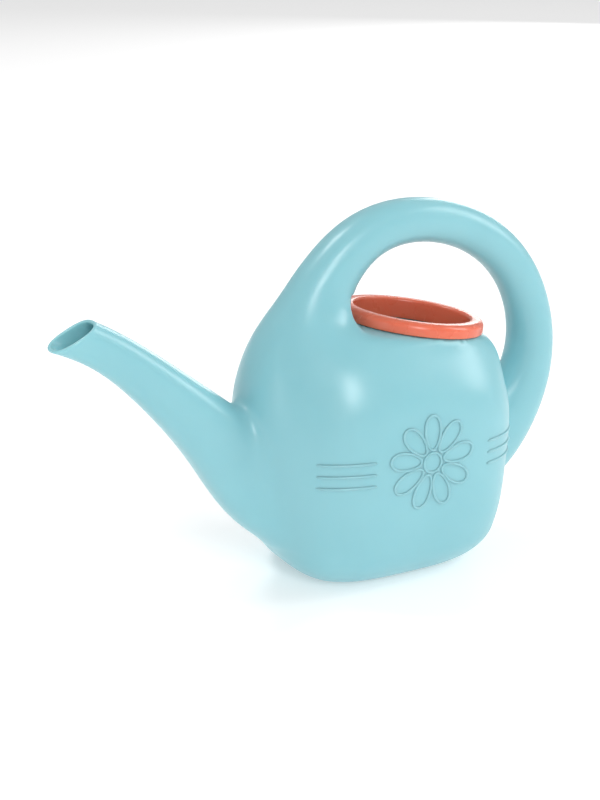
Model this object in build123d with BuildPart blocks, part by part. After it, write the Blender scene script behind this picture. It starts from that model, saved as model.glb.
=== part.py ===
"""Child's watering can: a hollow blow-moulded can with a clip-in filler collar.

The tank, the spout and the handle are one plastic moulding, seamless on the real
can. Here that moulding is cut just outside the skin of the tank, and the tank is cut
level with its shoulder, so that every hollow node is a simple one. The cut faces meet.
The filler collar is a second moulding, clipped over the neck of the tank.

Units are millimetres. +Z is up, the spout points to -X, and the origin is on the
middle of the flat base. The can is symmetric about the XZ plane.
"""

from build123d import *
from math import cos, pi, radians, sin
import os

os.makedirs("parts", exist_ok=True)

# --- Driving dimensions -------------------------------------------------------

WALL = 2.0              # wall of the blow moulding
BASE_ROUNDING = 20.0    # radius of the edge round the flat base
SPOUT_BLEND = 6.0       # radius where the spout grows out of the tank
HANDLE_BLEND = 5.0      # radius where the handle's rear leg grows out of the tank

# Levels of the tank: height, centre x, half length, half width, squareness and
# the tilt of the level in degrees, down towards the rear.
TANK_LEVELS = [
    (0, -2, 58, 44, 3.2, 0),
    (30, -2, 67, 53, 3.2, 0),
    (60, -2, 70, 56, 3.2, 0),
    (90, -1, 70, 56, 3.2, 1),
    (110, 1, 68, 53, 2.8, 6),
    (127, 7, 61, 44, 2.6, 9),
    (134, 20, 40, 40, 2, 9),
]

# Stations along each limb: x, z, half height in the XZ plane and half width
# along Y. Both ends of the handle and the root of the spout lie inside the tank.
SPOUT_STATIONS = [
    (-42, 43, 32, 31),
    (-63, 51, 28, 24),
    (-97, 84, 20, 18),
    (-130, 118, 14, 14),
    (-166, 147, 11, 11),
    (-203, 164, 11, 11),
]
HANDLE_STATIONS = [
    (-46, 50, 20, 24),
    (-57, 92, 26, 28),
    (-44, 146, 19, 17),
    (-9, 186, 13, 13),
    (47, 187, 12, 12),
    (90, 155, 12, 12),
    (102, 104, 14, 13),
    (92, 78, 18, 13),
    (73, 58, 23, 13),
    (45, 42, 24, 13),
]
LIMB_SQUARENESS = 2.2

# The mouth of the spout lies on a plane that rises towards the tank.
MOUTH_POINT = (-164, 0, 161)
MOUTH_SLOPE = 27

# Filler opening: the neck and the collar share one axis, tilted to the rear. The
# axis starts in the middle of the collar's top face, and depths run down from it.
COLLAR_TOP = (21.5, 0, 141.5)
NECK_TILT = 9
NECK_RADIUS = 37.5
NECK_WALL = 1.8
NECK_EDGE_DEPTH = 1.8
NECK_ROOT_DEPTH = 9.0
SNAP_DEPTH = 4.6            # bead round the neck, and its groove in the collar
SNAP_RADIUS = 0.5

COLLAR_SKIRT_DEPTH = 7.1    # outside the neck
COLLAR_SLEEVE_DEPTH = 11.5  # inside the neck
COLLAR_SKIRT_WALL = 2.8
COLLAR_SLEEVE_WALL = 3.1
COLLAR_CLEARANCE = 0.12     # on each side of the neck
COLLAR_ROUNDING = 2.6

# The cut between the tank and its limbs runs this far outside the tank's skin.
ROOT_LENGTH = 1.5

# The tank is cut level here, into a lower cup and a shoulder with the neck.
SHOULDER_LEVEL = 96

# The side of this line, in the XZ plane, where the spout lies. Its slanted stretch
# follows the crease between the top of the spout and the root of the handle.
SPOUT_SIDE = [(-50, 0), (-50, 60), (-66, 73), (-88, 104), (-88, 220), (-230, 220), (-230, 0)]

# --- Shapes shared by the solids ----------------------------------------------


def superellipse_section(plane, half_x, half_y, squareness, points):
    """The face |x/half_x|^squareness + |y/half_y|^squareness = 1 on a plane."""
    outline = []
    for step in range(points):
        angle = 2 * pi * step / points
        c, s = cos(angle), sin(angle)
        reach = (abs(c) ** squareness + abs(s) ** squareness) ** (-1 / squareness)
        outline.append((half_x * c * reach, half_y * s * reach))
    with BuildSketch(plane) as section:
        with BuildLine():
            Spline(*outline, periodic=True)
        make_face()
    return section.sketch


def tilted_plane(x, z, tilt):
    """A level that leans down towards the rear by tilt degrees."""
    lean = radians(tilt)
    return Plane(origin=(x, 0, z), x_dir=(cos(lean), 0, -sin(lean)), z_dir=(sin(lean), 0, cos(lean)))


def tank_sections(inset=0):
    """The tank's levels drawn inset, and closed up in height by as much."""
    top = TANK_LEVELS[-1][0]
    sections = []
    for z, x, half_length, half_width, squareness, tilt in TANK_LEVELS:
        level = inset + z * (top - 2 * inset) / top
        sections.append(
            superellipse_section(
                tilted_plane(x, level, tilt),
                half_length - inset,
                half_width - inset,
                squareness,
                points=28,
            )
        )
    return sections


def limb_sections(stations, inset=0):
    """Sections square to a limb's centre line, each drawn inset."""
    sections = []
    for index, (x, z, half_height, half_width) in enumerate(stations):
        before = stations[max(index - 1, 0)]
        after = stations[min(index + 1, len(stations) - 1)]
        along = (after[0] - before[0], 0, after[1] - before[1])
        sections.append(
            superellipse_section(
                Plane(origin=(x, 0, z), x_dir=(0, 1, 0), z_dir=along),
                half_width - inset,
                half_height - inset,
                LIMB_SQUARENESS,
                points=16,
            )
        )
    return sections


def neck_profile_plane():
    """The XZ plane turned so that its Y runs up the neck's axis."""
    lean = radians(NECK_TILT)
    return Plane(origin=COLLAR_TOP, x_dir=(cos(lean), 0, -sin(lean)), z_dir=(0, -1, 0))


COLLAR_PLANE = tilted_plane(COLLAR_TOP[0], COLLAR_TOP[2], NECK_TILT)
NECK_AXIS = Axis(COLLAR_PLANE.origin, COLLAR_PLANE.z_dir)
neck_bore = NECK_RADIUS - NECK_WALL

# --- The moulding: its outside and its cavity ---------------------------------

with BuildPart() as tank_outside:
    loft(sections=tank_sections())
    fillet(tank_outside.edges().group_by(Axis.Z)[0], BASE_ROUNDING)

with BuildPart() as spout_outside:
    loft(sections=limb_sections(SPOUT_STATIONS))
    mouth_lean = radians(MOUTH_SLOPE)
    split(
        bisect_by=Plane(origin=MOUTH_POINT, z_dir=(-sin(mouth_lean), 0, cos(mouth_lean))),
        keep=Keep.BOTTOM,
    )

with BuildPart() as cavity:
    loft(sections=tank_sections(inset=WALL))
    fillet(cavity.edges().group_by(Axis.Z)[0], BASE_ROUNDING - WALL)
    loft(sections=limb_sections(SPOUT_STATIONS, inset=WALL))
    loft(sections=limb_sections(HANDLE_STATIONS, inset=WALL))

with BuildPart() as moulding:
    add(tank_outside.part)
    add(spout_outside.part)
    spout_root = moulding.edges(Select.NEW).filter_by(lambda edge: edge.is_closed)
    fillet(spout_root, SPOUT_BLEND)
    loft(sections=limb_sections(HANDLE_STATIONS))
    rear_root = moulding.edges(Select.NEW).filter_by_position(Axis.X, 60, 75)
    fillet(rear_root, HANDLE_BLEND)
    add(cavity.part, mode=Mode.SUBTRACT)

with BuildPart() as neck:
    with BuildSketch(neck_profile_plane()):
        with BuildLine():
            Polyline(
                (neck_bore, -NECK_EDGE_DEPTH),
                (neck_bore, -NECK_ROOT_DEPTH),
                (NECK_RADIUS, -NECK_ROOT_DEPTH),
                (NECK_RADIUS, -NECK_EDGE_DEPTH),
                close=True,
            )
        make_face()
        with Locations((NECK_RADIUS, -SNAP_DEPTH)):
            Circle(SNAP_RADIUS)
    revolve(axis=NECK_AXIS)

# --- The nodes ----------------------------------------------------------------

with BuildPart() as whole_tank:
    add(moulding.part)
    loft(sections=tank_sections(inset=-ROOT_LENGTH), mode=Mode.INTERSECT)
    add(neck.part)
    with BuildSketch(COLLAR_PLANE):
        Circle(neck_bore)
    extrude(amount=-2 * NECK_ROOT_DEPTH, mode=Mode.SUBTRACT)

with BuildPart() as tank:
    add(whole_tank.part)
    split(bisect_by=Plane.XY.offset(SHOULDER_LEVEL), keep=Keep.BOTTOM)

with BuildPart() as tank_shoulder:
    add(whole_tank.part)
    split(bisect_by=Plane.XY.offset(SHOULDER_LEVEL), keep=Keep.TOP)

with BuildPart() as limbs:
    add(moulding.part)
    loft(sections=tank_sections(inset=-ROOT_LENGTH), mode=Mode.SUBTRACT)

with BuildPart() as spout_side:
    with BuildSketch(Plane.XZ):
        with BuildLine():
            Polyline(*SPOUT_SIDE, close=True)
        make_face()
    extrude(amount=60, both=True)

with BuildPart() as spout:
    add(limbs.part)
    add(spout_side.part, mode=Mode.INTERSECT)

with BuildPart() as handle:
    add(limbs.part)
    add(spout_side.part, mode=Mode.SUBTRACT)

# The collar is a ring with an upside-down U section: skirt, rounded top, sleeve.
with BuildPart() as filler_collar:
    skirt_bore = NECK_RADIUS + COLLAR_CLEARANCE
    sleeve_radius = neck_bore - COLLAR_CLEARANCE
    with BuildSketch(neck_profile_plane()) as collar_profile:
        with BuildLine():
            Polyline(
                (skirt_bore, -COLLAR_SKIRT_DEPTH),
                (skirt_bore + COLLAR_SKIRT_WALL, -COLLAR_SKIRT_DEPTH),
                (skirt_bore + COLLAR_SKIRT_WALL, 0),
                (sleeve_radius - COLLAR_SLEEVE_WALL, 0),
                (sleeve_radius - COLLAR_SLEEVE_WALL, -COLLAR_SLEEVE_DEPTH),
                (sleeve_radius, -COLLAR_SLEEVE_DEPTH),
                (sleeve_radius, -NECK_EDGE_DEPTH),
                (skirt_bore, -NECK_EDGE_DEPTH),
                close=True,
            )
        make_face()
        fillet(collar_profile.vertices().group_by(Axis.Y)[-1], COLLAR_ROUNDING)
        with Locations((skirt_bore, -SNAP_DEPTH)):
            Circle(SNAP_RADIUS, mode=Mode.SUBTRACT)
    revolve(axis=NECK_AXIS)

NODES = {
    "tank": tank,
    "tank_shoulder": tank_shoulder,
    "spout": spout,
    "handle": handle,
    "filler_collar": filler_collar,
}
for label, node in NODES.items():
    node.part.label = label
    export_step(node.part, f"parts/{label}.step")
    print(f"{label}: {len(node.solids())} solid, {node.part.volume / 1000:.1f} cm3")
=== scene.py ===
"""Looks of the child's watering can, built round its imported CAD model.

The moulding (tank, spout and handle) is one seamless skin: the three shapes are
written as distance fields, blended where they meet, and meshed as a thin shell.
The filler collar is turned from a profile, and the raised marks are swept along
the skin. Shapes are worked out in millimetres and made in metres.
"""

import math

import bmesh
import bpy
import numpy as np
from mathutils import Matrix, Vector


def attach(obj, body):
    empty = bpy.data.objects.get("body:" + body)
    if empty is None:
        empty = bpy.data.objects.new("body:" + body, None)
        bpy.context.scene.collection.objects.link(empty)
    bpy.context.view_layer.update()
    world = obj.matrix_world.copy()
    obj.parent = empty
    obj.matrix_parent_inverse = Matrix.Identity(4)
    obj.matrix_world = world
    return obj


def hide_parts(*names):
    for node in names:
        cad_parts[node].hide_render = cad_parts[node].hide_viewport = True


MM = 0.001

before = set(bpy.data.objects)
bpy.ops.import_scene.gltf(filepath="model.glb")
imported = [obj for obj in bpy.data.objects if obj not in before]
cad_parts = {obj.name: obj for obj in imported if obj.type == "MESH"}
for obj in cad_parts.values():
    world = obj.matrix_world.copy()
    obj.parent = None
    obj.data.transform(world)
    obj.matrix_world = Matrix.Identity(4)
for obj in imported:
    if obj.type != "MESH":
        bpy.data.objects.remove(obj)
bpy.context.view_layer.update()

# --- Dimensions of the moulding, in millimetres --------------------------------

WALL = 2.0
BASE_ROUNDING = 20.0

# Height, centre x, half length, half width, squareness and tilt in degrees,
# the same levels as the CAD model has.
TANK_LEVELS = [
    (0, -2, 58, 44, 3.2, 0),
    (30, -2, 67, 53, 3.2, 0),
    (60, -2, 70, 56, 3.2, 0),
    (90, -1, 70, 56, 3.2, 1),
    (110, 1, 68, 53, 2.8, 6),
    (127, 7, 61, 44, 2.6, 9),
    (134, 20, 40, 40, 2, 9),
]
# x, z, half height in the XZ plane and half width along Y, as in the CAD model.
SPOUT_STATIONS = [
    (-42, 43, 32, 31),
    (-63, 51, 28, 24),
    (-97, 84, 20, 18),
    (-130, 118, 14, 14),
    (-166, 147, 11, 11),
    (-203, 164, 11, 11),
]
HANDLE_STATIONS = [
    (-46, 50, 20, 24),
    (-57, 92, 26, 28),
    (-44, 146, 19, 17),
    (-9, 186, 13, 13),
    (47, 187, 12, 12),
    (90, 155, 12, 12),
    (102, 104, 14, 13),
    (92, 78, 18, 13),
    (73, 58, 23, 13),
    (45, 42, 24, 13),
]
SPOUT_SQUARENESS = 2.5
HANDLE_SQUARENESS = 2.3
SPOUT_BLEND = 9.0
HANDLE_FRONT_BLEND = 24.0
HANDLE_REAR_BLEND = 10.0

MOUTH_POINT = np.array([-164, 0, 161])
MOUTH_SLOPE = 27

COLLAR_TOP = np.array([21.5, 0, 141.5])
NECK_TILT = 9
NECK_RADIUS = 37.5
NECK_EDGE_DEPTH = 1.8
NECK_WALL = 1.8
DECK_DEPTH = 7.35
DECK_HOLE = 38.6
RECESS_RADIUS = 46.5
RECESS_HEIGHT = 14
LIP_ROUNDING = 0.8

COLLAR_SKIRT_DEPTH = 7.1
COLLAR_SLEEVE_DEPTH = 11.5
COLLAR_SKIRT_WALL = 2.8
COLLAR_SLEEVE_WALL = 3.1
COLLAR_CLEARANCE = 0.12
COLLAR_OUTER_ROUNDING = 3.4
COLLAR_INNER_ROUNDING = 1.6

RIB_LEVELS = (65.5, 72.0, 78.5)
RIB_SPANS = ((-63, -33.5), (37, 63))
DAISY_CENTRE = np.array([0, 73.5])
DAISY_PETALS = 9
DAISY_EYE = 5.5
PETAL_LENGTH, PETAL_WIDTH, PETAL_MIDDLE = 19, 9.5, 16.5

# Meshing: the net's cell, and the rounds that even it out.
GRID_STEP = 2.37
EVENING_ROUNDS = 10


# --- Curves ---------------------------------------------------------------------

def natural_spline(knots, values, at):
    """A cubic spline through values at rising knots, read at the places in at."""
    knots, values, at = (np.asarray(v, float) for v in (knots, values, at))
    gaps = np.diff(knots)
    slopes = np.diff(values) / gaps
    count = len(knots)
    matrix = np.eye(count)
    right = np.zeros(count)
    for i in range(1, count - 1):
        matrix[i, i - 1 : i + 2] = gaps[i - 1], 2 * (gaps[i - 1] + gaps[i]), gaps[i]
        right[i] = 6 * (slopes[i] - slopes[i - 1])
    bend = np.linalg.solve(matrix, right)
    i = np.clip(np.searchsorted(knots, at) - 1, 0, count - 2)
    a, b = at - knots[i], knots[i + 1] - at
    straight = values[i] * b + values[i + 1] * a
    curved = bend[i] * (b**3 - b * gaps[i] ** 2) + bend[i + 1] * (a**3 - a * gaps[i] ** 2)
    return (straight + curved / 6) / gaps[i]


def spline_table(rows, lengths, samples):
    """Every column of rows, read densely along a spline over the given lengths."""
    knots = np.concatenate([[0], np.cumsum(lengths)])
    at = np.linspace(0, knots[-1], samples)
    return np.stack([natural_spline(knots, column, at) for column in np.array(rows, float).T], 1)


# --- Distance fields --------------------------------------------------------------

def superellipse_distance(u, v, half_u, half_v, squareness):
    """Nearly the distance from (u, v) to the superellipse, negative inside."""
    u, v = np.abs(u) / half_u + 1e-9, np.abs(v) / half_v + 1e-9
    reach = (u**squareness + v**squareness) ** (1 / squareness)
    steepness = np.hypot(
        (u / reach) ** (squareness - 1) / half_u, (v / reach) ** (squareness - 1) / half_v
    )
    return (reach - 1) / steepness


class Tank:
    """The rounded box: a stack of tilted superellipse levels, closed at both ends."""

    def __init__(self):
        rows = np.array(TANK_LEVELS, float)
        lengths = np.sqrt((np.diff(rows[:, [0, 2, 3]], axis=0) ** 2).sum(1))
        table = spline_table(rows, lengths, 1200)
        turn = np.linspace(0, math.pi / 2, 18)
        heights = BASE_ROUNDING * (1 - np.cos(turn))
        low = np.stack([np.interp(heights, table[:, 0], column) for column in table.T], 1)
        low[:, 2:4] -= BASE_ROUNDING * (1 - np.sin(turn))[:, None]
        high = table[table[:, 0] > BASE_ROUNDING + 0.5][::-1][::8][::-1]
        ends = low[:1].copy(), high[-1:].copy()
        for end in ends:
            end[:, 2:4] = 1
        self.levels = np.concatenate([ends[0], low, high, ends[1]])

    def level_offsets(self, p, index):
        """Each point's distance outside, and height above, the levels in index."""
        z, x, half_length, half_width, squareness, tilt = np.moveaxis(self.levels[index], -1, 0)
        lean = np.radians(tilt)
        dx, dz = p[:, :1] - x, p[:, 2:] - z
        flat = dx * np.cos(lean) - dz * np.sin(lean)
        height = dx * np.sin(lean) + dz * np.cos(lean)
        out = superellipse_distance(flat, p[:, 1:2], half_length, half_width, squareness)
        return out, height

    def __call__(self, p):
        coarse = np.arange(0, len(self.levels), 8)
        out, height = self.level_offsets(p, coarse)
        nearest = coarse[(out**2 + height**2).argmin(1)]
        window = np.clip(nearest[:, None] + np.arange(-8, 9), 0, len(self.levels) - 1)
        out, height = self.level_offsets(p, window)
        step_out, step_up = -np.diff(out), -np.diff(height)
        length = step_out**2 + step_up**2 + 1e-12
        share = np.clip((out[:, :-1] * step_out + height[:, :-1] * step_up) / length, 0, 1)
        gap = np.hypot(out[:, :-1] - share * step_out, height[:, :-1] - share * step_up)
        gap[np.diff(window) == 0] = np.inf
        side = out[:, :-1] * step_up - height[:, :-1] * step_out
        rows, best = np.arange(len(p)), gap.argmin(1)
        outside = (side[rows, best] > 0) | (neck_height(p) > -DECK_DEPTH) | (p[:, 2] < 0)
        return np.where(outside, 1, -1) * gap[rows, best]


class Limb:
    """A tube through stations in the XZ plane, with a superellipse section."""

    def __init__(self, stations, squareness):
        rows = np.array(stations, float)
        lengths = np.hypot(np.diff(rows[:, 0]), np.diff(rows[:, 1]))
        self.table = spline_table(rows, lengths, 500)
        self.squareness = squareness
        centre = self.table[:, :2]
        along = np.gradient(centre, axis=0)
        self.along = along / np.linalg.norm(along, axis=1)[:, None]

    def nearest(self, x, z):
        """The sample of the centre line nearest to each place, coarse search first."""
        def distance(i):
            return (x - self.table[i, 0]) ** 2 + (z - self.table[i, 1]) ** 2

        found = np.zeros(len(x), int)
        for step in (16, 8, 4, 2, 1):
            tries = range(0, len(self.table), 16) if step == 16 else (found - step, found + step)
            best = distance(found)
            for i in tries:
                i = np.clip(i, 0, len(self.table) - 1)
                gap = distance(i)
                found, best = np.where(gap < best, i, found), np.minimum(gap, best)
        return found

    def __call__(self, p):
        x, y, z = p.T
        i = self.nearest(x, z)
        gap = np.linalg.norm(self.table[1, :2] - self.table[0, :2])
        past = (x - self.table[i, 0]) * self.along[i, 0] + (z - self.table[i, 1]) * self.along[i, 1]
        at = np.clip(i + past / gap, 0, len(self.table) - 1)
        steps = np.arange(len(self.table))

        def read(column):
            return np.interp(at, steps, column)

        tx, tz = read(self.along[:, 0]), read(self.along[:, 1])
        dx, dz = x - read(self.table[:, 0]), z - read(self.table[:, 1])
        across = dz * tx - dx * tz
        d = superellipse_distance(
            across, y, read(self.table[:, 2]), read(self.table[:, 3]), self.squareness
        )
        return np.maximum(d, np.abs(dx * tx + dz * tz) - 0.5)


def neck_axis():
    lean = math.radians(NECK_TILT)
    return np.array([math.sin(lean), 0, math.cos(lean)])


def neck_height(p):
    """Height above the collar's top face, along the neck's axis."""
    return (p - COLLAR_TOP) @ neck_axis()


def neck_radius(p):
    away = p - COLLAR_TOP
    return np.linalg.norm(away - np.outer(away @ neck_axis(), neck_axis()), axis=1)


def mouth_axis():
    lean = math.radians(MOUTH_SLOPE)
    return np.array([-math.sin(lean), 0, math.cos(lean)])


def mouth_height(p):
    """Height above the plane of the spout's mouth."""
    return (p - MOUTH_POINT) @ mouth_axis()


def smooth_union(a, b, blend):
    h = np.maximum(blend - np.abs(a - b), 0) / blend
    return np.minimum(a, b) - h * h * blend / 4


tank_field = Tank()
spout_field = Limb(SPOUT_STATIONS, SPOUT_SQUARENESS)
handle_field = Limb(HANDLE_STATIONS, HANDLE_SQUARENESS)


def can_field(p):
    """The uncut outside of the moulding: every root blended, and room for the collar."""
    front = np.clip((20 - p[:, 0]) / 40, 0, 1)
    handle_blend = HANDLE_REAR_BLEND + (HANDLE_FRONT_BLEND - HANDLE_REAR_BLEND) * front
    tank = tank_field(p)
    body = smooth_union(tank, handle_field(p), handle_blend)
    body = smooth_union(body, spout_field(p), SPOUT_BLEND)
    above = neck_height(p) + DECK_DEPTH
    beside = neck_radius(p) - RECESS_RADIUS
    recess = np.maximum(beside, np.abs(above - RECESS_HEIGHT / 2) - RECESS_HEIGHT / 2)
    carved = -smooth_union(-body, recess, 4)
    return smooth_union(tank, carved, 1.5)


# --- Meshing ------------------------------------------------------------------------

def field_slope(field, p):
    step = 0.25
    ahead = [field(p + step * axis) - field(p - step * axis) for axis in np.eye(3)]
    return np.stack(ahead, 1) / (2 * step)


def surface_net(field, low, high, step):
    """Quads round the field's zero level: one point in each cell it passes through."""
    axes = [np.arange(a, b + step, step) for a, b in zip(low, high)]
    shape = tuple(len(a) for a in axes)
    grid = np.stack(np.meshgrid(*axes, indexing="ij"), -1).reshape(-1, 3)
    value = field(grid).reshape(shape)
    inside = value < 0
    cells = tuple(n - 1 for n in shape)
    total, crossings = np.zeros(cells + (3,)), np.zeros(cells)
    corners = [np.array(c) for c in np.ndindex(2, 2, 2)]
    base = grid.reshape(shape + (3,))

    def corner_of(array, c):
        return array[c[0] : c[0] + cells[0], c[1] : c[1] + cells[1], c[2] : c[2] + cells[2]]

    for start in corners:
        for axis in range(3):
            if start[axis]:
                continue
            end = start.copy()
            end[axis] = 1
            v0, v1 = corner_of(value, start), corner_of(value, end)
            crossed = (v0 < 0) != (v1 < 0)
            share = np.where(crossed, v0 / np.where(crossed, v0 - v1, 1), 0)
            point = corner_of(base, start) + share[..., None] * step * np.eye(3)[axis]
            total += point * crossed[..., None]
            crossings += crossed
    used = crossings > 0
    number = np.full(cells, -1)
    number[used] = np.arange(used.sum())
    points = total[used] / crossings[used][:, None]

    quads = []
    for axis in range(3):
        b, c = (axis + 1) % 3, (axis + 2) % 3
        first = [slice(1, -1)] * 3
        first[axis] = slice(0, -1)
        after = list(first)
        after[axis] = slice(1, None)
        v0, v1 = inside[tuple(first)], inside[tuple(after)]
        where = np.argwhere(v0 != v1)
        where[:, b] += 1
        where[:, c] += 1
        index = tuple(where.T)
        outward = inside[index]
        around = []
        for db, dc in ((0, 0), (-1, 0), (-1, -1), (0, -1)):
            cell = where.copy()
            cell[:, b] += db
            cell[:, c] += dc
            around.append(number[tuple(cell.T)])
        around = np.stack(around, 1)
        around[~outward] = around[~outward][:, ::-1]
        quads.append(around)
    return points, np.concatenate(quads)


def neighbour_mean(points, quads):
    """The mean of each point's neighbours along the quads' edges."""
    total, count = np.zeros_like(points), np.zeros(len(points))
    for i in range(4):
        a, b = quads[:, i], quads[:, (i + 1) % 4]
        for one, other in ((a, b), (b, a)):
            np.add.at(total, one, points[other])
            np.add.at(count, one, 1)
    return total / np.maximum(count, 1)[:, None]


def project(field, points, rounds=1):
    for _ in range(rounds):
        slope = field_slope(field, points)
        step = field(points) / np.maximum((slope**2).sum(1), 0.05)
        points = points - np.clip(step, -1.5, 1.5)[:, None] * slope
    return points


def open_edges(quads):
    """The edges that only one quad has, in that quad's direction."""
    pairs = np.concatenate([quads[:, [i, (i + 1) % 4]] for i in range(4)])
    edges = set(map(tuple, pairs.tolist()))
    return [(a, b) for a, b in edges if (b, a) not in edges]


def without_pinches(quads):
    """The quads, less those round any point where two open edges start."""
    while True:
        starts = np.bincount([a for a, _ in open_edges(quads)], minlength=quads.max() + 1)
        pinched = starts > 1
        if not pinched.any():
            return quads
        quads = quads[~pinched[quads].any(1)]


def boundary_loops(quads):
    """The open edges as closed runs of points, in the quads' own direction."""
    after = dict(open_edges(quads))
    loops = []
    while after:
        start, here = next(iter(after.items()))
        loop = [start]
        del after[start]
        while here != start:
            loop.append(here)
            here = after.pop(here)
        loops.append(np.array(loop))
    return loops


def ring_faces(rows, closed=True):
    """Quads between rows of points that have the same count."""
    faces = []
    for one, two in zip(rows[:-1], rows[1:]):
        ahead = 0 if closed else 1
        a, b = one, np.roll(one, -1)
        c, d = two, np.roll(two, -1)
        faces.append(np.stack([b, a, c, d], 1)[: len(one) - ahead])
    return np.concatenate(faces)


# --- The moulding's thin shell ----------------------------------------------------

def snap_to_mouth(p):
    """Points brought onto both the spout's skin and the plane just under its lip."""
    up = mouth_axis()
    for _ in range(4):
        p = p - np.outer(mouth_height(p) + LIP_ROUNDING, up)
        slope = field_slope(can_field, p)
        slope = slope - np.outer(slope @ up, up)
        step = np.clip(can_field(p) / (slope**2).sum(1), -1, 1)
        p = p - step[:, None] * slope
    return p


def neck_points(p, radius, depth):
    """The points of a loop round the neck, moved to a radius and a depth."""
    away = p - COLLAR_TOP
    axis = neck_axis()
    radial = away - np.outer(away @ axis, axis)
    radial /= np.linalg.norm(radial, axis=1)[:, None]
    return COLLAR_TOP - depth * axis + radius * radial


def can_shell():
    """The can's outer and inner skins, joined round the spout's lip and the neck."""
    low, high = np.array([-210, -27.5 * GRID_STEP, -5.1]), np.array([121, 64, 209])
    points, quads = surface_net(can_field, low, high, GRID_STEP)
    points = project(can_field, points, 2)
    beyond = (points[:, 0] < -130) & (mouth_height(points) > -LIP_ROUNDING - 0.5)
    on_deck = np.abs(neck_height(points) + DECK_DEPTH) < 0.8
    dropped = beyond | (on_deck & (neck_radius(points) < DECK_HOLE + 0.5))
    quads = without_pinches(quads[~dropped[quads].any(1)])
    used = np.unique(quads)
    number = np.full(len(points), -1)
    number[used] = np.arange(len(used))
    points, quads = points[used], number[quads]
    loops = boundary_loops(quads)
    assert len(loops) == 2, [len(loop) for loop in loops]
    mouth, deck = sorted(loops, key=lambda loop: points[loop, 0].mean())

    for _ in range(EVENING_ROUNDS):
        moved = 0.4 * points + 0.6 * neighbour_mean(points, quads)
        for loop in (mouth, deck):
            line = points[loop]
            moved[loop] = (np.roll(line, 1, 0) + np.roll(line, -1, 0)) / 4 + line / 2
        points = project(can_field, moved)
        points[mouth] = snap_to_mouth(points[mouth])
        points[deck] = neck_points(points[deck], DECK_HOLE, DECK_DEPTH)
    points = project(can_field, points)
    points[mouth] = snap_to_mouth(points[mouth])
    points[deck] = neck_points(points[deck], DECK_HOLE, DECK_DEPTH)

    slope = field_slope(can_field, points)
    normals = slope / np.linalg.norm(slope, axis=1)[:, None]
    lip = mouth_axis()
    across = normals[mouth] - np.outer(normals[mouth] @ lip, lip)
    across /= np.linalg.norm(across, axis=1)[:, None]
    normals[mouth] = across
    inner = points - WALL * normals
    line = points[deck]
    inner[deck] = neck_points(line, DECK_HOLE, DECK_DEPTH + WALL)

    shell = [points, inner]
    count = 2 * len(points)
    faces = [quads, quads[:, ::-1] + len(points)]

    def add_rows(start, rows, end):
        nonlocal count
        numbers = [start]
        for row in rows:
            shell.append(row)
            numbers.append(np.arange(count, count + len(row)))
            count += len(row)
        faces.append(ring_faces(numbers + [end]))

    turns = (math.pi / 6, math.pi / 3, math.pi / 2)
    rounding = [(LIP_ROUNDING * (1 - math.cos(t)), LIP_ROUNDING * math.sin(t)) for t in turns]
    lip_rows = [points[mouth] - inward * across + np.outer(np.full(len(mouth), rise), lip)
                for inward, rise in rounding + [(WALL - i, r) for i, r in rounding[::-1]]]
    add_rows(mouth, lip_rows, mouth + len(points))

    bore = NECK_RADIUS - NECK_WALL
    profile = [
        (NECK_RADIUS, DECK_DEPTH),
        (NECK_RADIUS, NECK_EDGE_DEPTH + 0.4),
        (NECK_RADIUS - 0.12, NECK_EDGE_DEPTH + 0.12),
        (NECK_RADIUS - 0.4, NECK_EDGE_DEPTH),
        (bore + 0.4, NECK_EDGE_DEPTH),
        (bore + 0.12, NECK_EDGE_DEPTH + 0.12),
        (bore, NECK_EDGE_DEPTH + 0.4),
        (bore, DECK_DEPTH + WALL),
    ]
    add_rows(deck, [neck_points(line, r, depth) for r, depth in profile], deck + len(points))
    return np.concatenate(shell), np.concatenate(faces)


# --- Raised marks -------------------------------------------------------------------

def side_of_can(x, z):
    """How far the can's side stands out along Y at each place (x, z)."""
    inside, outside = np.zeros(len(x)), np.full(len(x), 75.0)
    for _ in range(22):
        y = (inside + outside) / 2
        within = can_field(np.stack([x, y, z], 1)) < 0
        inside, outside = np.where(within, y, inside), np.where(within, outside, y)
    return inside


def even_path(path, spacing, closed):
    """A path given by (x, z) places, laid on the can's side with even steps."""
    if closed:
        path = np.concatenate([path, path[:1]])
    y = side_of_can(path[:, 0], path[:, 1])
    line = np.stack([path[:, 0], y, path[:, 1]], 1)
    at = np.concatenate([[0], np.cumsum(np.linalg.norm(np.diff(line, axis=0), axis=1))])
    steps = np.linspace(0, at[-1], max(int(at[-1] / spacing), 8) + 1)
    if closed:
        steps = steps[:-1]
    x, z = np.interp(steps, at, line[:, 0]), np.interp(steps, at, line[:, 2])
    return np.stack([x, side_of_can(x, z), z], 1)


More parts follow.
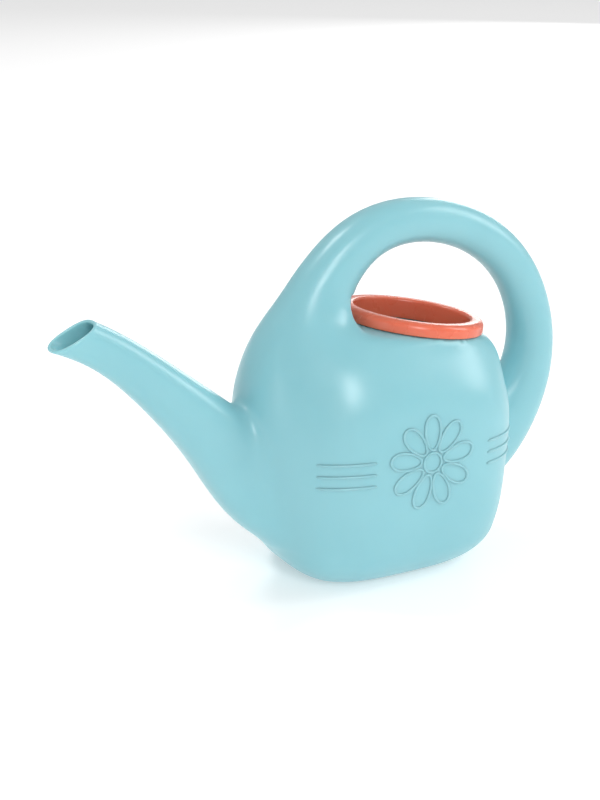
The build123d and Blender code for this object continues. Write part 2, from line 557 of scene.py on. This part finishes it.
def raised_line(path, closed, width=1.5, height=0.75, sunk=0.5):
    """A low rounded bead along a path on the can's side."""
    line = even_path(path, 1.0, closed)
    slope = field_slope(can_field, line)
    out = slope / np.linalg.norm(slope, axis=1)[:, None]
    if closed:
        along = np.roll(line, -1, 0) - np.roll(line, 1, 0)
    else:
        along = np.gradient(line, axis=0)
    across = np.cross(along, out)
    across /= np.linalg.norm(across, axis=1)[:, None]
    size = np.ones(len(line))
    if not closed:
        ends = np.array([0.15, 0.75])
        size[:2], size[-2:] = ends, ends[::-1]
    turns = np.linspace(0, math.pi, 7)
    section = [(width / 2 * math.cos(t), height * math.sin(t) ** 0.8) for t in turns]
    section += [(-width / 2, -sunk), (width / 2, -sunk)]
    rows = [
        line + (side * size)[:, None] * across + (lift * np.where(lift > 0, size, 1))[:, None] * out
        for side, lift in section
    ]
    count, around = len(line), len(rows)
    points = np.stack(rows, 1).reshape(-1, 3)
    index = np.arange(count * around).reshape(count, around)
    faces = []
    for i in range(count if closed else count - 1):
        one, two = index[i], index[(i + 1) % count]
        for j in range(around):
            k = (j + 1) % around
            faces.append((one[j], one[k], two[k], two[j]))
    if not closed:
        faces.append(tuple(index[0][::-1]))
        faces.append(tuple(index[-1]))
    return points, faces


def daisy_outlines():
    """The daisy's eye and petals as closed paths round its centre."""
    turn = np.linspace(0, 2 * math.pi, 60, endpoint=False)
    outlines = [np.stack([DAISY_EYE * np.cos(turn), DAISY_EYE * np.sin(turn)], 1)]
    for petal in range(DAISY_PETALS):
        aim = math.pi / 2 + 2 * math.pi * petal / DAISY_PETALS
        along = PETAL_LENGTH / 2 * np.cos(turn)
        across = PETAL_WIDTH / 2 * np.sin(turn) * (1 + 0.18 * np.cos(turn))
        out = PETAL_MIDDLE + along
        outlines.append(np.stack([out * math.cos(aim) - across * math.sin(aim),
                                  out * math.sin(aim) + across * math.cos(aim)], 1))
    return [outline + DAISY_CENTRE for outline in outlines]


def raised_marks():
    """The daisy and the grip ribs on both sides of the can."""
    lines = [(outline, True) for outline in daisy_outlines()]
    for z in RIB_LEVELS:
        for span in RIB_SPANS:
            lines.append((np.stack([np.linspace(*span, 60), np.full(60, z)], 1), False))
    points, faces, count = [], [], 0
    for path, closed in lines:
        p, f = raised_line(path, closed)
        for mirror in (1, -1):
            points.append(p * [1, mirror, 1])
            faces += [tuple(np.array(face)[::mirror] + count) for face in f]
            count += len(p)
    return np.concatenate(points), faces


# --- The collar ---------------------------------------------------------------------

def arc(centre, radius, start, end, steps):
    """Points of an arc, by (distance from the axis, height)."""
    angles = np.radians(np.linspace(start, end, steps))
    return [(centre[0] + radius * math.cos(a), centre[1] + radius * math.sin(a)) for a in angles]


def collar_profile():
    """The upside-down U of the collar, round from the skirt's inside, clockwise."""
    skirt = NECK_RADIUS + COLLAR_CLEARANCE
    outer = skirt + COLLAR_SKIRT_WALL
    sleeve = NECK_RADIUS - NECK_WALL - COLLAR_CLEARANCE
    inner = sleeve - COLLAR_SLEEVE_WALL
    edge, shoulder, lip = 0.5, COLLAR_OUTER_ROUNDING, COLLAR_INNER_ROUNDING
    profile = arc((skirt + edge, edge - COLLAR_SKIRT_DEPTH), edge, 180, 270, 4)
    profile += arc((outer - edge, edge - COLLAR_SKIRT_DEPTH), edge, 270, 360, 4)
    profile += [(outer, -5.2)]
    profile += arc((outer - shoulder, -shoulder), shoulder, 0, 90, 12)
    profile += arc((inner + lip, -lip), lip, 90, 180, 8)
    profile += [(inner, -5.0), (inner, -8.0)]
    profile += arc((inner + edge, edge - COLLAR_SLEEVE_DEPTH), edge, 180, 270, 4)
    profile += arc((sleeve - edge, edge - COLLAR_SLEEVE_DEPTH), edge, 270, 360, 4)
    profile += [(sleeve, -NECK_EDGE_DEPTH + 0.1), (skirt, -NECK_EDGE_DEPTH + 0.1)]
    return profile


def turned(profile, segments):
    """The profile turned about the neck's axis."""
    axis = neck_axis()
    side = np.array([axis[2], 0, -axis[0]])
    turn = np.linspace(0, 2 * math.pi, segments, endpoint=False)
    spokes = np.outer(np.cos(turn), side) + np.outer(np.sin(turn), [0, 1, 0])
    points = [COLLAR_TOP + radius * spokes + height * axis for radius, height in profile]
    rows = [np.arange(segments) + i * segments for i in range(len(profile))]
    return np.concatenate(points), ring_faces(rows + rows[:1])


# --- Pieces -------------------------------------------------------------------------

def make_piece(name, points, faces):
    mesh = bpy.data.meshes.new(name)
    mesh.from_pydata((np.asarray(points) * MM).tolist(), [], [list(map(int, f)) for f in faces])
    mesh.validate()
    mesh.shade_smooth()
    piece = bpy.data.objects.new(name, mesh)
    bpy.context.scene.collection.objects.link(piece)
    return piece


def outward(piece):
    """Turns every closed shell's faces outward."""
    bm = bmesh.new()
    bm.from_mesh(piece.data)
    bmesh.ops.recalc_face_normals(bm, faces=bm.faces)
    bm.to_mesh(piece.data)
    bm.free()


skin_points, skin_faces = can_shell()
mark_points, mark_faces = raised_marks()
can = make_piece(
    "can",
    np.concatenate([skin_points, mark_points]),
    skin_faces.tolist() + [[i + len(skin_points) for i in face] for face in mark_faces],
)
collar = make_piece("collar", *turned(collar_profile(), 180))
outward(collar)

# --- Materials ----------------------------------------------------------------------

def plastic(name, light, dark, roughness, bump, scuffs):
    """A moulded plastic: faint mottling, fine grain, uneven gloss and light scuffs."""
    material = bpy.data.materials.new(name)
    material.use_nodes = True
    nodes, links = material.node_tree.nodes, material.node_tree.links
    shader = nodes["Principled BSDF"]
    shader.inputs["IOR"].default_value = 1.5
    shader.inputs["Subsurface Weight"].default_value = 0.5
    shader.inputs["Subsurface Radius"].default_value = (1.0, 0.9, 0.8)
    shader.inputs["Subsurface Scale"].default_value = 0.005
    place = nodes.new("ShaderNodeTexCoord")

    def noise(scale, detail=2.0, stretch=None):
        made = nodes.new("ShaderNodeTexNoise")
        made.inputs["Scale"].default_value = scale
        made.inputs["Detail"].default_value = detail
        source = place.outputs["Object"]
        if stretch:
            mapping = nodes.new("ShaderNodeMapping")
            mapping.inputs["Scale"].default_value = stretch
            mapping.inputs["Rotation"].default_value = (0.4, 0.7, 0.2)
            links.new(source, mapping.inputs["Vector"])
            source = mapping.outputs["Vector"]
        links.new(source, made.inputs["Vector"])
        return made.outputs["Fac"]

    def ramp(value, low, high, out_low, out_high):
        made = nodes.new("ShaderNodeMapRange")
        for socket, number in zip(
            ("From Min", "From Max", "To Min", "To Max"), (low, high, out_low, out_high)
        ):
            made.inputs[socket].default_value = number
        links.new(value, made.inputs["Value"])
        return made.outputs["Result"]

    def add(one, two):
        made = nodes.new("ShaderNodeMath")
        made.operation = "ADD"
        links.new(one, made.inputs[0])
        links.new(two, made.inputs[1])
        return made.outputs["Value"]

    scratches = ramp(noise(45, 6, (1, 14, 3)), 0.64, 0.72, 0, scuffs)
    mottle = ramp(noise(22, 3), 0.3, 0.7, 0, 1)
    mix = nodes.new("ShaderNodeMix")
    mix.data_type = "RGBA"
    mix.inputs["A"].default_value = (*light, 1)
    mix.inputs["B"].default_value = (*dark, 1)
    links.new(mottle, mix.inputs["Factor"])
    links.new(mix.outputs["Result"], shader.inputs["Base Color"])
    uneven = ramp(noise(70, 4), 0.3, 0.7, roughness - 0.035, roughness + 0.035)
    links.new(add(uneven, scratches), shader.inputs["Roughness"])
    grain = nodes.new("ShaderNodeBump")
    grain.inputs["Strength"].default_value = bump
    grain.inputs["Distance"].default_value = 0.0002
    links.new(noise(1400, 3), grain.inputs["Height"])
    waves = nodes.new("ShaderNodeBump")
    waves.inputs["Strength"].default_value = 0.12
    waves.inputs["Distance"].default_value = 0.0006
    links.new(noise(55, 1), waves.inputs["Height"])
    links.new(waves.outputs["Normal"], grain.inputs["Normal"])
    links.new(grain.outputs["Normal"], shader.inputs["Normal"])
    return material


aqua = plastic("aqua_plastic", (0.257, 0.545, 0.600), (0.240, 0.522, 0.578), 0.31, 0.10, 0.05)
coral = plastic("coral_plastic", (0.76, 0.165, 0.090), (0.735, 0.156, 0.085), 0.28, 0.08, 0.05)
can.data.materials.append(aqua)
collar.data.materials.append(coral)

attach(can, "root")
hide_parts("tank", "tank_shoulder", "spout", "handle")
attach(collar, "root")
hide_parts("filler_collar")

# --- Floor, light and camera --------------------------------------------------------

def stage_material():
    material = bpy.data.materials.new("floor")
    material.use_nodes = True
    shader = material.node_tree.nodes["Principled BSDF"]
    shader.inputs["Base Color"].default_value = (0.8, 0.8, 0.8, 1)
    shader.inputs["Roughness"].default_value = 0.9
    shader.inputs["Emission Color"].default_value = (1, 1, 1, 1)
    shader.inputs["Emission Strength"].default_value = 0.32
    return material


floor_mesh = bpy.data.meshes.new("floor")
floor_mesh.from_pydata([(-6, -6, 0), (6, -6, 0), (6, 6, 0), (-6, 6, 0)], [], [(0, 1, 2, 3)])
floor = bpy.data.objects.new("floor", floor_mesh)
floor.data.materials.append(stage_material())
bpy.context.scene.collection.objects.link(floor)

world = bpy.data.worlds.new("studio")
world.use_nodes = True
world.node_tree.nodes["Background"].inputs["Color"].default_value = (1, 1, 1, 1)
world.node_tree.nodes["Background"].inputs["Strength"].default_value = 0.49
bpy.context.scene.world = world
bpy.context.scene.view_settings.view_transform = "Standard"

CAN_MIDDLE = Vector((-0.03, 0, 0.10))


def area_light(name, direction, distance, width, height, power):
    """A softbox that looks at the middle of the can from a direction."""
    data = bpy.data.lights.new(name, "AREA")
    data.shape = "RECTANGLE"
    data.size, data.size_y = width, height
    data.energy = power
    light = bpy.data.objects.new(name, data)
    light.location = CAN_MIDDLE + distance * Vector(direction).normalized()
    light.rotation_euler = (CAN_MIDDLE - light.location).to_track_quat("-Z", "Y").to_euler()
    bpy.context.scene.collection.objects.link(light)


area_light("window", (-0.20, -0.85, 0.48), 3.0, 0.7, 1.3, 35)
area_light("right", (0.85, -0.35, 0.50), 3.0, 1.0, 1.8, 32)
area_light("overhead", (-0.32, 0.42, 0.85), 3.0, 0.7, 0.7, 24)
area_light("rim", (0.70, 0.70, 0.24), 3.2, 0.8, 1.4, 14)
area_light("left", (-0.95, -0.25, 0.16), 3.0, 0.5, 0.9, 5)

CAMERA_TURN = math.radians(29)
CAMERA_RISE = math.radians(18)
CAMERA_AIM = Vector((-0.049, 0, 0.100))
CAMERA_DISTANCE = 0.90
camera_data = bpy.data.cameras.new("camera")
camera_data.sensor_width = 36
camera_data.lens = 75.0
camera = bpy.data.objects.new("camera", camera_data)
away = Vector((-math.sin(CAMERA_TURN) * math.cos(CAMERA_RISE),
               -math.cos(CAMERA_TURN) * math.cos(CAMERA_RISE), math.sin(CAMERA_RISE)))
camera.location = CAMERA_AIM + CAMERA_DISTANCE * away
camera.rotation_euler = away.to_track_quat("Z", "Y").to_euler()
bpy.context.scene.collection.objects.link(camera)
bpy.context.scene.camera = camera
